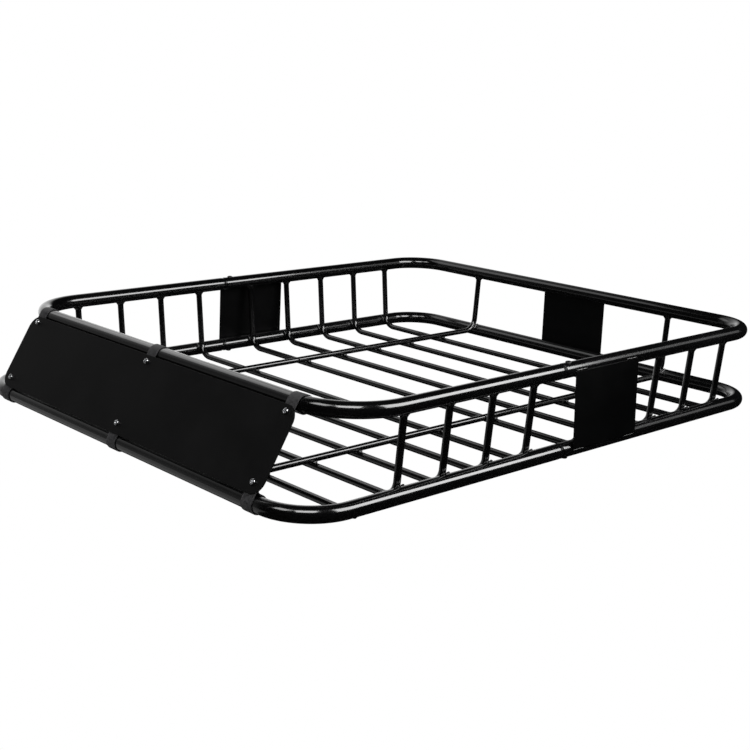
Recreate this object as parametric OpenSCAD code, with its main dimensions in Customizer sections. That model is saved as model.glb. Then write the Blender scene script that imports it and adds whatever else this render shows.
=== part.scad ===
// Roof cargo basket in two bolted halves, with a wind fairing at the front.
// X runs across the vehicle, -Y is the driving direction, +Z is up.
// The origin is under the middle of the basket, level with the undersides of the floor bows.

/* [Basket] */
// Outside width of the upper ring
basket_w = 990; // [900:5:1100]
// Outside length of the upper ring
basket_l = 1102; // [1040:2:1200]
// Outside height, from the underside of the lower ring to the top of the upper ring
basket_h = 165.5; // [150:0.5:190]
// How far the lower ring reaches ahead of the upper ring
nose_l = 84; // [70:1:100]
// How far each lower side rail stands outside the upper one
flare = 4.6; // [0:0.2:8]
// Bend radius of the upper ring's front corners
upper_front_r = 112; // [80:1:120]
// Bend radius of the lower ring's front corners
lower_front_r = 90; // [70:1:120]
// Bend radius of both rings' rear corners
rear_r = 84; // [70:1:100]

/* [Tubes and rods] */
// Outside diameter of the ring tube
tube_d = 26.8; // [25:0.2:28]
// Wall of the ring tube
tube_wall = 1.2; // [1:0.1:1.6]
// Outside diameter of the floor bows and runners
rod_d = 12; // [10:0.5:13]
// Wall of the floor bows and runners
rod_wall = 1.2; // [1:0.1:1.4]
// Bend radius of the bows and of the runners' rear ends
bow_r = 30; // [26:1:34]
// Bend radius of the runners' front ends
nose_r = 20; // [18:1:24]
// How far the bows' centreline lies below the lower ring's centreline
bow_drop = 10.6; // [8:0.2:12]

/* [Floor] */
// Spacing of the front half's bows
front_pitch = 98; // [94:1:100]
// Spacing of the rear half's bows
rear_pitch = 102; // [98:1:104]
// Distance from each end of the upper ring's centreline to the nearest bow
end_gap = 117; // [115:1:122]
// Distance from the upper ring's front centreline back to the straight cross bar
bar_gap = 20; // [16:1:30]
// Distance of each runner from the middle of the basket
runner_x = 272; // [230:1:300]

/* [Slip joints] */
// Distance from the rear centreline forward to the front half's shoulders
joint_gap = 603; // [600:1:606]
// Length of the cone and bare spigot that shows between the halves
joint_show = 7; // [6:0.5:9]
// Length of the spigots on the front half's rails
spigot_l = 60; // [50:1:70]
// Distance from the shoulder to the joint bolt
joint_bolt_gap = 22; // [20:1:26]
// Distance from the rear centreline forward to the runners' slip joint
runner_joint_gap = 556; // [553:1:559]
// Length of the runners' spigots
runner_spigot_l = 36; // [30:1:40]

/* [Panels] */
// Width of each plain steel panel
panel_w = 171; // [120:1:180]
// Thickness of the panels
panel_t = 1.5; // [1:0.1:2]
// Distance from the rear centreline forward to the right panel's front edge
right_panel_gap = 576; // [570:1:590]
// Distance from the rear centreline forward to the left panel's front edge
left_panel_gap = 596; // [570:1:596]
// How far the rear panel stands to the right of the middle
rear_panel_shift = 8; // [-20:1:20]

/* [Fairing] */
// Width of the fairing plate
fairing_w = 803; // [780:1:820]
// Height of the fairing plate along its slope
fairing_h = 144; // [136:1:148]
// Thickness of the fairing plate
fairing_t = 2; // [1.5:0.1:3]
// Corner radius of the fairing plate
fairing_r = 25; // [15:1:30]
// Distance from the upper tube's centreline down to the plate's top edge
fairing_top = 9.4; // [6:0.2:12]
// Distance of the outer clips from the middle
clip_x = 378; // [360:1:380]
// Width of the clip bands
clip_w = 25; // [20:1:28]
// Thickness of the clip bands
clip_t = 2.2; // [1.6:0.1:2.4]
// Distance from the upper tube's centreline to the upper screws
upper_screw_gap = 20.8; // [20.6:0.1:22]
// Distance from the lower tube's centreline to the lower screws
lower_screw_gap = 27; // [24:0.5:30]

/* [Hidden] */
$fn = 64;
fit = 0.05;
rod_swell = 0.06;
bend_lap = 0.5;
front_bows = 4;
rear_bows = 5;

tube_r = tube_d / 2;
rod_r = rod_d / 2;
clip_in = tube_r + fit;
clip_out = clip_in + clip_t;
spigot_r = tube_r - tube_wall - 2 * fit;
cone_l = joint_show - 2;
runner_joint_show = 3;
runner_cone_l = 2;

// Ring centrelines
upper_x = basket_w / 2 - tube_r;
lower_x = upper_x + flare;
ring_l = basket_l - tube_d;
rise = basket_h - tube_d;
total_l = clip_out + nose_l + ring_l + tube_r + fit + panel_t;
low_front_y = clip_out - total_l / 2;
up_front_y = low_front_y + nose_l;
rear_y = up_front_y + ring_l;
bow_z = rod_r;
lower_z = bow_z + bow_drop;
upper_z = lower_z + rise;
runner_z = bow_z + rod_d + fit;

// Places along the basket
joint_y = rear_y - joint_gap;
rear_start_y = joint_y + joint_show;
joint_bolt_y = joint_y + joint_bolt_gap;
runner_joint_y = rear_y - runner_joint_gap;
runner_rear_y = runner_joint_y + runner_joint_show;
bow_ys = [
    for (i = [0 : front_bows - 1]) up_front_y + end_gap + i * front_pitch,
    for (i = [rear_bows - 1 : -1 : 0]) rear_y - end_gap - i * rear_pitch
];
bar_y = up_front_y + bar_gap;

// The fairing's slope
slope = atan(nose_l / rise);
slope_l = norm([nose_l, rise]);
plate_z = clip_out + fit;
plate_face_z = plate_z + fairing_t;
upper_screw_y = -upper_screw_gap;
lower_screw_y = lower_screw_gap - slope_l;
clip_xs = [-clip_x, 0, clip_x];
clip_seam = 0.2;
clip_bend_max = 4;
clip_tail = 9;

// Side panels lean with the rails
lean = atan(flare / rise);
panel_edge = 1.5;

// M5 pan head screws and nuts of the fairing
screw_r = 2.5;
screw_hole_r = 2.75;
screw_head_r = 5;
screw_head_h = 3.4;
screw_nut_flats = 8;
screw_nut_h = 4;
screw_tip = 1.2;
slot_w = 1.3;
slot_l = 5.6;
slot_d = 1.8;

// M6 button head bolts and weld nuts of the slip joints
bolt_r = 3;
bolt_hole_r = 3.2;
bolt_head_r = 5.5;
bolt_head_h = 2.6;
bolt_nut_flats = 10;
bolt_nut_h = 5;
bolt_tip = 1;
key_flats = 4;
key_d = 1.6;

// ---- Geometry of bent tubes ----

function unit(v) = v / norm(v);
function heading(a, b) = atan2(b[1] - a[1], b[0] - a[0]);
// Turn at a corner, in degrees, positive to the left
function turn(a, b, c) = (heading(b, c) - heading(a, b) + 540) % 360 - 180;
// Length that a bend of radius r takes from each leg of a corner
function setback(a, b, c, r) = r * tan(abs(turn(a, b, c)) / 2);

// Centre of the bend that lies on the floor line and touches the lower tube from inside.
// The plane is [distance outwards, height]; tube is the lower tube's centre.
function bend_centre(tube, floor_z, r) =
    let (touch = r + rod_r + tube_r + fit, drop = floor_z + r - tube[1])
    [tube[0] - sqrt(touch * touch - drop * drop), floor_z + r];
// Corner of the floor line and the line from the upper tube's centre that is tangent to the bend
function bow_corner(upper, centre, floor_z, r) =
    let (
        away = upper - centre,
        tilt = atan2(away[0], away[1]) - asin(r / norm(away))
    )
    [upper[0] - (upper[1] - floor_z) * tan(tilt), floor_z];

// Solid rod of diameter d along points in the XY plane, with corner i rounded to radii[i].
// The bends are thicker than the straight lengths by swell, which reach into them by lap.
module bent_rod(pts, radii, d, swell, ends = 0) {
    last = len(pts) - 1;
    lap = swell > 0 ? bend_lap : 0;
    backs = [
        for (i = [0 : last])
            i == 0 || i == last ? -ends : setback(pts[i - 1], pts[i], pts[i + 1], radii[i])
    ];
    for (i = [0 : last - 1]) {
        way = unit(pts[i + 1] - pts[i]);
        lap_in = i > 0 ? lap : 0;
        lap_out = i < last - 1 ? lap : 0;
        start = pts[i] + way * (backs[i] - lap_in);
        run = norm(pts[i + 1] - pts[i]) - backs[i] - backs[i + 1] + lap_in + lap_out;
        translate([start[0], start[1], 0])
        rotate([0, 90, heading(pts[i], pts[i + 1])])
        cylinder(d = d - swell, h = run);
    }
    for (i = [1 : 1 : last - 1]) {
        angle = turn(pts[i - 1], pts[i], pts[i + 1]);
        side = sign(angle);
        into = heading(pts[i - 1], pts[i]);
        start = pts[i] - backs[i] * [cos(into), sin(into)];
        centre = start + side * radii[i] * [-sin(into), cos(into)];
        translate([centre[0], centre[1], 0])
        rotate([0, 0, side > 0 ? into - 90 : into - abs(angle) + 90])
        rotate_extrude(angle = abs(angle))
        translate([radii[i], 0])
        circle(d = d);
    }
}

module bent_tube(pts, radii, d, wall, swell = 0) {
    difference() {
        bent_rod(pts, radii, d, swell);
        bent_rod(pts, radii, d - 2 * wall, swell, ends = 1);
    }
}

// Tube along +Y from the origin, with a cone that necks down from radius r0 to r1
module spigot(r0, r1, wall, cone, length) {
    rotate([-90, 0, 0])
    difference() {
        union() {
            cylinder(r1 = r0, r2 = r1, h = cone);
            translate([0, 0, cone])
            cylinder(r = r1, h = length);
        }
        cylinder(r1 = r0 - wall, r2 = r1 - wall, h = cone);
        translate([0, 0, cone])
        cylinder(r = r1 - wall, h = length + 1);
    }
}

// Puts a drawing of the plane [outwards, height] across the basket at a given y
module across(y) {
    translate([0, y, 0])
    rotate([90, 0, 0])
    children();
}

// The same plane along the basket at a given x
module along(x) {
    translate([x, 0, 0])
    rotate([90, 0, 90])
    children();
}

// ---- Rails ----

module joint_hole(x, z, up) {
    translate([x, joint_bolt_y, z])
    rotate([up > 0 ? 0 : 180, 0, 0])
    cylinder(r = bolt_hole_r, h = tube_d);
}

module front_half(x, y, z, corner_r, up) {
    color("#141416")
    difference() {
        union() {
            translate([0, 0, z])
            bent_tube(
                [[-x, joint_y], [-x, y], [x, y], [x, joint_y]],
                [0, corner_r, corner_r, 0],
                tube_d, tube_wall
            );
            for (side = [-1, 1])
                translate([side * x, joint_y, z])
                spigot(tube_r, spigot_r, tube_wall, cone_l, spigot_l);
        }
        for (side = [-1, 1])
            joint_hole(side * x, z, up);
    }
}

module rear_half(x, z, up) {
    color("#141416")
    difference() {
        translate([0, 0, z])
        bent_tube(
            [[x, rear_start_y], [x, rear_y], [-x, rear_y], [-x, rear_start_y]],
            [0, rear_r, rear_r, 0],
            tube_d, tube_wall
        );
        for (side = [-1, 1])
            joint_hole(side * x, z, up);
    }
}

module front_upper_rail() {
    front_half(upper_x, up_front_y, upper_z, upper_front_r, 1);
}

module front_lower_rail() {
    front_half(lower_x, low_front_y, lower_z, lower_front_r, -1);
}

module rear_upper_rail() {
    rear_half(upper_x, upper_z, 1);
}

module rear_lower_rail() {
    rear_half(lower_x, lower_z, -1);
}

// ---- Floor ----

// Solid that stands for a ring tube where a rod is shaped to fit against it
module side_tube(x, z) {
    translate([x, 0, z])
    rotate([90, 0, 0])
    cylinder(r = tube_r + fit, h = total_l, center = true);
}

module end_tube(y, z) {
    translate([0, y, z])
    rotate([0, 90, 0])
    cylinder(r = tube_r + fit, h = basket_w, center = true);
}

module floor_bow(y) {
    centre = bend_centre([lower_x, lower_z], bow_z, bow_r);
    corner = bow_corner([upper_x, upper_z], centre, bow_z, bow_r);
    color("#141416")
    difference() {
        across(y)
        bent_tube(
            [[-upper_x, upper_z], [-corner[0], bow_z], [corner[0], bow_z], [upper_x, upper_z]],
            [0, bow_r, bow_r, 0],
            rod_d, rod_wall, rod_swell
        );
        for (side = [-1, 1])
            side_tube(side * upper_x, upper_z);
    }
}

module floor_bow_1() { floor_bow(bow_ys[0]); }
module floor_bow_2() { floor_bow(bow_ys[1]); }
module floor_bow_3() { floor_bow(bow_ys[2]); }
module floor_bow_4() { floor_bow(bow_ys[3]); }
module floor_bow_5() { floor_bow(bow_ys[4]); }
module floor_bow_6() { floor_bow(bow_ys[5]); }
module floor_bow_7() { floor_bow(bow_ys[6]); }
module floor_bow_8() { floor_bow(bow_ys[7]); }
module floor_bow_9() { floor_bow(bow_ys[8]); }

module front_cross_bar() {
    color("#141416")
    difference() {
        across(bar_y)
        bent_tube([[-lower_x, bow_z], [lower_x, bow_z]], [0, 0], rod_d, rod_wall);
        for (side = [-1, 1])
            side_tube(side * lower_x, lower_z);
    }
}

module runner_front(x) {
    centre = bend_centre([-low_front_y, lower_z], runner_z, nose_r);
    corner = bow_corner([-up_front_y, upper_z], centre, runner_z, nose_r);
    color("#141416") {
        difference() {
            along(x)
            bent_tube(
                [[up_front_y, upper_z], [-corner[0], runner_z], [runner_joint_y, runner_z]],
                [0, nose_r, 0],
                rod_d, rod_wall, rod_swell
            );
            end_tube(up_front_y, upper_z);
        }
        translate([x, runner_joint_y, runner_z])
        spigot(rod_r, rod_r - rod_wall - fit, rod_wall, runner_cone_l, runner_spigot_l);
    }
}

module runner_rear(x) {
    centre = bend_centre([rear_y, lower_z], runner_z, bow_r);
    corner = bow_corner([rear_y, upper_z], centre, runner_z, bow_r);
    color("#141416")
    difference() {
        along(x)
        bent_tube(
            [[runner_rear_y, runner_z], [corner[0], runner_z], [rear_y, upper_z]],
            [0, bow_r, 0],
            rod_d, rod_wall, rod_swell
        );
        end_tube(rear_y, upper_z);
    }
}

module runner_front_left() { runner_front(-runner_x); }
module runner_front_right() { runner_front(runner_x); }
module runner_rear_left() { runner_rear(-runner_x); }
module runner_rear_right() { runner_rear(runner_x); }

// ---- Panels ----

// Mirrors a drawing of the right side to the left when side is -1
module on_side(side) {
    mirror([side < 0 ? 1 : 0, 0, 0])
    children();
}

module side_panel(side, gap) {
    color("#101012")
    on_side(side)
    translate([upper_x, rear_y - gap, upper_z])
    rotate([0, -lean, 0])
    translate([tube_r + fit, 0, panel_edge - rise / cos(lean)])
    cube([panel_t, panel_w, rise / cos(lean) - 2 * panel_edge]);
}

module side_panel_left() { side_panel(-1, left_panel_gap); }
module side_panel_right() { side_panel(1, right_panel_gap); }

module rear_panel() {
    color("#101012")
    translate([rear_panel_shift - panel_w / 2, rear_y + tube_r + fit, lower_z + panel_edge])
    cube([panel_w, panel_t, rise - 2 * panel_edge]);
}

// ---- Fairing ----

// Local frame on the front slope: the upper tube's centreline is the X axis,
// +Y points up the slope, +Z points forward out of the plate
module on_slope() {
    translate([0, up_front_y, upper_z])
    rotate([90 - slope, 0, 0])
    children();
}

module rounded_rect(w, h, r) {
    square([w - 2 * r, h], center = true);
    square([w, h - 2 * r], center = true);
    for (sx = [-1, 1], sy = [-1, 1])
        translate([sx * (w / 2 - r), sy * (h / 2 - r)])
        circle(r = r);
}

module wind_fairing() {
    color("#1d1d20")
    on_slope()
    difference() {
        translate([0, -fairing_top - fairing_h / 2, plate_z])
        linear_extrude(fairing_t)
        rounded_rect(fairing_w, fairing_h, fairing_r);
        for (x = clip_xs, y = [upper_screw_y, lower_screw_y])
            translate([x, y, plate_z - 1])
            cylinder(r = screw_hole_r, h = fairing_t + 2);
    }
}

// Circle drawn out along a vector, such as the room that a bent tube takes in a straight ring
module stretched_circle(r, slack) {
    circle(r = r);
    if (norm(slack) > 0) {
        translate(slack)
        circle(r = r);
        rotate(atan2(slack[1], slack[0]))
        translate([0, -r])
        square([norm(slack), 2 * r]);
    }
}

// Quarters of a ring, counted from the +X axis
module ring_sector(r_in, r_out, quadrants, slack = [0, 0]) {
    intersection() {
        difference() {
            stretched_circle(r_out, slack);
            stretched_circle(r_in, slack);
        }
        for (q = quadrants)
            rotate(90 * q)
            square(r_out + norm(slack) + 1);
    }
}

// How far a ring's corner bend carries the tube's back at the outer edge of an outer clip
function bend_slack(x, ring_x, r) =
    let (past = max(0, abs(x) + clip_w / 2 - (ring_x - r)))
    let (back_r = r - tube_r)
    back_r - sqrt(back_r * back_r - past * past);

// Side view of a clip: round a tube at the origin, with two flat tails towards +X
module clip_outline(hole_x, slack) {
    tail_x = hole_x + clip_tail;
    back_top = clip_in - clip_seam;
    bend_r = min(clip_bend_max, hole_x - screw_nut_flats / 2 - clip_out);
    bend_x = clip_out + bend_r;
    bend_y = back_top - clip_t - bend_r;
    ring_sector(clip_in, clip_out, [1, 2, 3], slack);
    translate([0, clip_in])
    square([tail_x, clip_t]);
    translate([clip_in, 0])
    square([clip_t, bend_y]);
    translate([bend_x, bend_y])
    ring_sector(bend_r, bend_r + clip_t, [1]);
    translate([bend_x, back_top - clip_t])
    square([tail_x - bend_x, clip_t]);
}

module clip(x, tube_y, hole_gap, way, slack) {
    color("#26262a")
    on_slope()
    difference() {
        translate([x - clip_w / 2, tube_y, 0])
        rotate([90, 0, 90])
        linear_extrude(clip_w)
        mirror([way < 0 ? 1 : 0, 0])
        clip_outline(hole_gap, slack * [way * sin(slope), -cos(slope)]);
        translate([x, tube_y + way * hole_gap, 0])
        cylinder(r = screw_hole_r, h = plate_z);
    }
}

module clip_upper(x) {
    clip(x, 0, upper_screw_gap, -1, bend_slack(x, upper_x, upper_front_r));
}

module clip_lower(x) {
    clip(x, -slope_l, lower_screw_gap, 1, bend_slack(x, lower_x, lower_front_r));
}

module clip_upper_left() { clip_upper(clip_xs[0]); }
module clip_upper_centre() { clip_upper(clip_xs[1]); }
module clip_upper_right() { clip_upper(clip_xs[2]); }
module clip_lower_left() { clip_lower(clip_xs[0]); }
module clip_lower_centre() { clip_lower(clip_xs[1]); }
module clip_lower_right() { clip_lower(clip_xs[2]); }

// ---- Fasteners ----

function nut_top() = clip_in - clip_seam - clip_t - fit;

module hex_prism(flats, h) {
    cylinder(d = flats / cos(30), h = h, $fn = 6);
}

module pan_screw() {
    difference() {
        union() {
            intersection() {
                cylinder(r = screw_head_r, h = screw_head_h);
                translate([0, 0, screw_head_h - 3 * screw_head_r])
                sphere(r = 3 * screw_head_r);
            }
            translate([0, 0, nut_top() - screw_nut_h - screw_tip - plate_face_z])
            cylinder(r = screw_r, h = plate_face_z - nut_top() + screw_nut_h + screw_tip);
        }
        for (a = [0, 90])
            rotate([0, 0, a])
            translate([-slot_l / 2, -slot_w / 2, screw_head_h - slot_d])
            cube([slot_l, slot_w, slot_d + 1]);
    }
}

module at_fairing_screws(z) {
    on_slope()
    for (x = clip_xs, y = [upper_screw_y, lower_screw_y])
        translate([x, y, z])
        children();
}

module fairing_screws() {
    color("#c9cacc")
    at_fairing_screws(plate_face_z + fit)
    pan_screw();
}

module fairing_nuts() {
    color("#b9babc")
    at_fairing_screws(nut_top() - screw_nut_h)
    difference() {
        hex_prism(screw_nut_flats, screw_nut_h);
        translate([0, 0, -1])
        cylinder(r = screw_r + fit, h = screw_nut_h + 2);
    }
}

// Places a bolt on each slip joint: up on the upper rails, down on the lower ones
module at_rail_joints() {
    for (side = [-1, 1]) {
        translate([side * upper_x, joint_bolt_y, upper_z])
        children();
        translate([side * lower_x, joint_bolt_y, lower_z])
        rotate([180, 0, 0])
        children();
    }
}

function bolt_nut_top() =
    let (bore = spigot_r - tube_wall, half = bolt_nut_flats / cos(30) / 2)
    sqrt(bore * bore - half * half) - fit;

module rail_joint_bolts() {
    head_top = tube_r + bolt_head_h;
    tip = bolt_nut_top() - bolt_nut_h - bolt_tip;
    color("#1a1a1c")
    at_rail_joints()
    difference() {
        union() {
            intersection() {
                cylinder(r = bolt_head_r, h = head_top);
                translate([0, 0, head_top - 2 * bolt_head_r])
                sphere(r = 2 * bolt_head_r);
                difference() {
                    cylinder(r = tube_d, h = head_top);
                    rotate([90, 0, 0])
                    cylinder(r = tube_r + fit, h = 2 * tube_d, center = true);
                }
            }
            translate([0, 0, tip])
            cylinder(r = bolt_r, h = tube_r + 1 - tip);
        }
        translate([0, 0, head_top - key_d])
        hex_prism(key_flats, key_d + 1);
    }
}

module rail_joint_nuts() {
    color("#7d7e80")
    at_rail_joints()
    translate([0, 0, bolt_nut_top() - bolt_nut_h])
    difference() {
        hex_prism(bolt_nut_flats, bolt_nut_h);
        translate([0, 0, -1])
        cylinder(r = bolt_r + fit, h = bolt_nut_h + 2);
    }
}

front_upper_rail();
front_lower_rail();
rear_upper_rail();
rear_lower_rail();
floor_bow_1();
floor_bow_2();
floor_bow_3();
floor_bow_4();
floor_bow_5();
floor_bow_6();
floor_bow_7();
floor_bow_8();
floor_bow_9();
front_cross_bar();
runner_front_left();
runner_front_right();
runner_rear_left();
runner_rear_right();
side_panel_left();
side_panel_right();
rear_panel();
wind_fairing();
clip_upper_left();
clip_upper_centre();
clip_upper_right();
clip_lower_left();
clip_lower_centre();
clip_lower_right();
fairing_screws();
fairing_nuts();
rail_joint_bolts();
rail_joint_nuts();
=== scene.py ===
"""Roof cargo basket: the visual model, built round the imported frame. Metres, +Z up, -Y forward."""

import math

import bmesh
import bpy
from mathutils import Matrix, Vector, noise

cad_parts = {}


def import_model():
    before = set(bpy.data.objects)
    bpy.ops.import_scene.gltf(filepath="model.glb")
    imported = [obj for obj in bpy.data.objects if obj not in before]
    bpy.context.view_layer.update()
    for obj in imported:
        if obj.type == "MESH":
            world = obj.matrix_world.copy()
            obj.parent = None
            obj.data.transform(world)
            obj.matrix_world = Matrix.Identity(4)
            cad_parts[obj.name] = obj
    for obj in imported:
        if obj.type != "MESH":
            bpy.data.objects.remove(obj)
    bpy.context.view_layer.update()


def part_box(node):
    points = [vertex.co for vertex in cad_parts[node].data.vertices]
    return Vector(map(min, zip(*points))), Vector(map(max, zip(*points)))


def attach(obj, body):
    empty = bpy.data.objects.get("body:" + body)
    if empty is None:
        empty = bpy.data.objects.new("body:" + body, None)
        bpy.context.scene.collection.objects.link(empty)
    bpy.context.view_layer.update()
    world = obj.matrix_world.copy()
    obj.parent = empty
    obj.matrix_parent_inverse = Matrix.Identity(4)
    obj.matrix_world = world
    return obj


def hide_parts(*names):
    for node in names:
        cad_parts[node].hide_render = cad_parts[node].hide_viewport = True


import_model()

# ---- Sizes, read from the frame's boxes ----

X, Y, Z = Vector((1, 0, 0)), Vector((0, 1, 0)), Vector((0, 0, 1))


def low(node, axis):
    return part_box(node)[0][axis]


def high(node, axis):
    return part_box(node)[1][axis]


def middle(node, axis):
    return (low(node, axis) + high(node, axis)) / 2


TUBE_R = (high("front_upper_rail", 2) - low("front_upper_rail", 2)) / 2
ROD_R = (high("front_cross_bar", 2) - low("front_cross_bar", 2)) / 2
UPPER_X = high("front_upper_rail", 0) - TUBE_R
LOWER_X = high("front_lower_rail", 0) - TUBE_R
UPPER_Z = middle("front_upper_rail", 2)
LOWER_Z = middle("front_lower_rail", 2)
UP_FRONT_Y = low("front_upper_rail", 1) + TUBE_R
LOW_FRONT_Y = low("front_lower_rail", 1) + TUBE_R
REAR_Y = high("rear_upper_rail", 1) - TUBE_R
REAR_START_Y = low("rear_upper_rail", 1)
BOW_Z = middle("front_cross_bar", 2)
BOW_YS = [middle(f"floor_bow_{i}", 1) for i in range(1, 10)]
BAR_Y = middle("front_cross_bar", 1)
RUNNER_X = middle("runner_front_right", 0)
RUNNER_REAR_Y = low("runner_rear_right", 1)

# Sizes that the boxes don't show, the same as in the frame's design
FIT = 0.00005
TUBE_WALL = 0.0012
ROD_WALL = 0.0012
UPPER_FRONT_R = 0.112
LOWER_FRONT_R = 0.090
REAR_R = 0.084
BOW_R = 0.030
NOSE_R = 0.020
JOINT_SHOW = 0.007
JOINT_CONE = 0.005
SPIGOT_R = TUBE_R - TUBE_WALL - 2 * FIT
SPIGOT_L = 0.060
JOINT_BOLT_GAP = 0.022
RUNNER_SHOW = 0.003
RUNNER_CONE = 0.002
RUNNER_SPIGOT_L = 0.036
RUNNER_Z = BOW_Z + 2 * ROD_R + FIT
JOINT_Y = REAR_START_Y - JOINT_SHOW
JOINT_BOLT_Y = JOINT_Y + JOINT_BOLT_GAP

# Fairing, clips and screws
RISE = UPPER_Z - LOWER_Z
SLOPE = math.atan2(UP_FRONT_Y - LOW_FRONT_Y, RISE)
SLOPE_L = math.hypot(UP_FRONT_Y - LOW_FRONT_Y, RISE)
SLOPE_FRAME = Matrix.Translation((0, UP_FRONT_Y, UPPER_Z)) @ Matrix.Rotation(math.pi / 2 - SLOPE, 4, "X")
CLIP_TAIL = 0.009
CLIP_BEND_MAX = 0.004
CLIP_SEAM = 0.0002
CLIP_EDGE_R = 0.0006
NUT_FLATS = 0.008
CLIP_W = high("clip_upper_centre", 0) - low("clip_upper_centre", 0)
CLIP_T = 0.0022
CLIP_IN = TUBE_R + FIT
CLIP_OUT = CLIP_IN + CLIP_T
CLIP_XS = [middle(f"clip_upper_{side}", 0) for side in ("left", "centre", "right")]
FAIRING_T = 0.002
FAIRING_R = 0.025
FAIRING_W = high("wind_fairing", 0) - low("wind_fairing", 0)
FAIRING_H = 0.144
FAIRING_TOP = 0.0094
PLATE_Z = CLIP_OUT + FIT
FACE_Z = PLATE_Z + FAIRING_T
SCREW_HOLE_R = 0.00275
UPPER_SCREW_GAP = 0.0208
LOWER_SCREW_GAP = 0.027
PANEL_T = 0.0015
PANEL_GAP = 0.0015


# ---- Mesh helpers ----

def polar(angle, u, v):
    """Direction at an angle from u towards v."""
    return u * math.cos(angle) + v * math.sin(angle)


def arc(centre, radius, u, v, start, stop, step=math.radians(5)):
    """Stations (point, direction) round a centre in the plane of u and v, angles in radians."""
    steps = max(2, math.ceil(abs(stop - start) / step))
    sense = 1 if stop > start else -1
    stations = []
    for k in range(steps + 1):
        a = start + (stop - start) * k / steps
        stations.append((centre + polar(a, u, v) * radius, polar(a + sense * math.pi / 2, u, v)))
    return stations


def bent_path(corners, radii, step=math.radians(4)):
    """Stations along straight runs whose inner corners are rounded to the given radii."""
    stations = [(corners[0], (corners[1] - corners[0]).normalized())]
    for before, corner, after, radius in zip(corners, corners[1:], corners[2:], radii):
        into = (corner - before).normalized()
        out = (after - corner).normalized()
        angle = into.angle(out)
        side = (out - into * out.dot(into)).normalized()
        start = corner - into * (radius * math.tan(angle / 2))
        centre = start + side * radius
        stations += arc(centre, radius, -side, into, 0, angle, step)
    stations.append((corners[-1], (corners[-1] - corners[-2]).normalized()))
    return stations


def circle(sides):
    """Points of a unit circle."""
    return [(math.cos(2 * math.pi * k / sides), math.sin(2 * math.pi * k / sides)) for k in range(sides)]


def rounded_outline(width, height, radius, steps=4):
    """Points of a rectangle with rounded corners, centred on the origin."""
    points = []
    for quarter, (sx, sy) in enumerate(((1, 1), (-1, 1), (-1, -1), (1, -1))):
        for k in range(steps + 1):
            a = math.pi / 2 * (quarter + k / steps)
            points.append((
                sx * (width / 2 - radius) + radius * math.cos(a),
                sy * (height / 2 - radius) + radius * math.sin(a),
            ))
    return points


# A span longer than this gets a supporting ring this far inside each of its ends
LONG_SPAN = 0.012
SUPPORT = 0.0015


def section_rings(stations, normal, section, scales=None):
    """One ring per station, its first axis the normal, and one more just inside each end of a long span.

    The extra rings keep the shading of a straight run even right up to a cone or a bend."""
    scales = scales or [1] * len(stations)

    def ring(point, way, scale):
        side = way.cross(normal).normalized()
        return [point + normal * (a * scale) + side * (b * scale) for a, b in section]

    rings = []
    for k, (point, way) in enumerate(stations):
        rings.append(ring(point, way, scales[k]))
        if k + 1 == len(stations):
            break
        after, after_way = stations[k + 1]
        span = (after - point).length
        if span > LONG_SPAN:
            rings.append(ring(point.lerp(after, SUPPORT / span), way, scales[k]))
            rings.append(ring(after.lerp(point, SUPPORT / span), after_way, scales[k + 1]))
    return rings


def skin(bm, rings, caps=(True, True), loop=False):
    """Quads between neighbouring rings of equal length, with the ends closed by a fan."""
    made = [[bm.verts.new(p) for p in ring] for ring in rings]
    pairs = list(zip(made, made[1:]))
    if loop:
        pairs.append((made[-1], made[0]))
    for ring, following in pairs:
        for k in range(len(ring)):
            m = (k + 1) % len(ring)
            bm.faces.new((ring[k], ring[m], following[m], following[k]))
    if loop:
        return
    for ring, wanted in ((made[0], caps[0]), (made[-1], caps[1])):
        if wanted:
            centre = bm.verts.new(sum((v.co for v in ring), Vector()) / len(ring))
            for k in range(len(ring)):
                bm.faces.new((ring[k], ring[(k + 1) % len(ring)], centre))


# Angles between faces above which an edge is shaded sharp
SHARP = math.radians(35)
TURNED_SHARP = math.radians(40)
WELD_SHARP = math.radians(60)
FLAT = math.radians(8)


def finish_piece(name, bm, material, replaces=(), sharp=SHARP, matrix=None):
    """Turns a bmesh into a piece of the object that rides on the one body."""
    if matrix is not None:
        bm.transform(matrix)
    bmesh.ops.recalc_face_normals(bm, faces=bm.faces)
    mesh = bpy.data.meshes.new(name)
    bm.to_mesh(mesh)
    bm.free()
    for polygon in mesh.polygons:
        polygon.use_smooth = True
    mesh.set_sharp_from_angle(angle=sharp)
    mesh.materials.append(material)
    piece = bpy.data.objects.new(name, mesh)
    bpy.context.scene.collection.objects.link(piece)
    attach(piece, "root")
    if replaces:
        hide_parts(*replaces)
    return piece


def reach(point, way, tube):
    """How far point goes along way to meet a tube (axis point, axis direction, radius)."""
    centre, axis, radius = tube
    offset = point - centre
    offset = offset - axis * offset.dot(axis)
    flat = way - axis * way.dot(axis)
    a, b, c = flat.dot(flat), offset.dot(flat), offset.dot(offset) - radius * radius
    room = max(b * b - a * c, 0)
    return (-b - math.sqrt(room)) / a


def on_tube(point, tube, lift=0):
    """The point moved straight onto the tube's surface."""
    centre, axis, radius = tube
    along = axis * (point - centre).dot(axis)
    out = (point - centre - along).normalized()
    return centre + along + out * (radius + lift)


# ---- Materials ----

def new_material(name):
    material = bpy.data.materials.new(name)
    material.use_nodes = True
    tree = material.node_tree
    return material, tree, tree.nodes["Principled BSDF"]


def texture(tree, kind, **values):
    """A texture node on the object's own coordinates, in metres."""
    node = tree.nodes.new(kind)
    coords = tree.nodes.get("Texture Coordinate") or tree.nodes.new("ShaderNodeTexCoord")
    tree.links.new(coords.outputs["Object"], node.inputs["Vector"])
    for key, value in values.items():
        node.inputs[key].default_value = value
    return node


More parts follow.
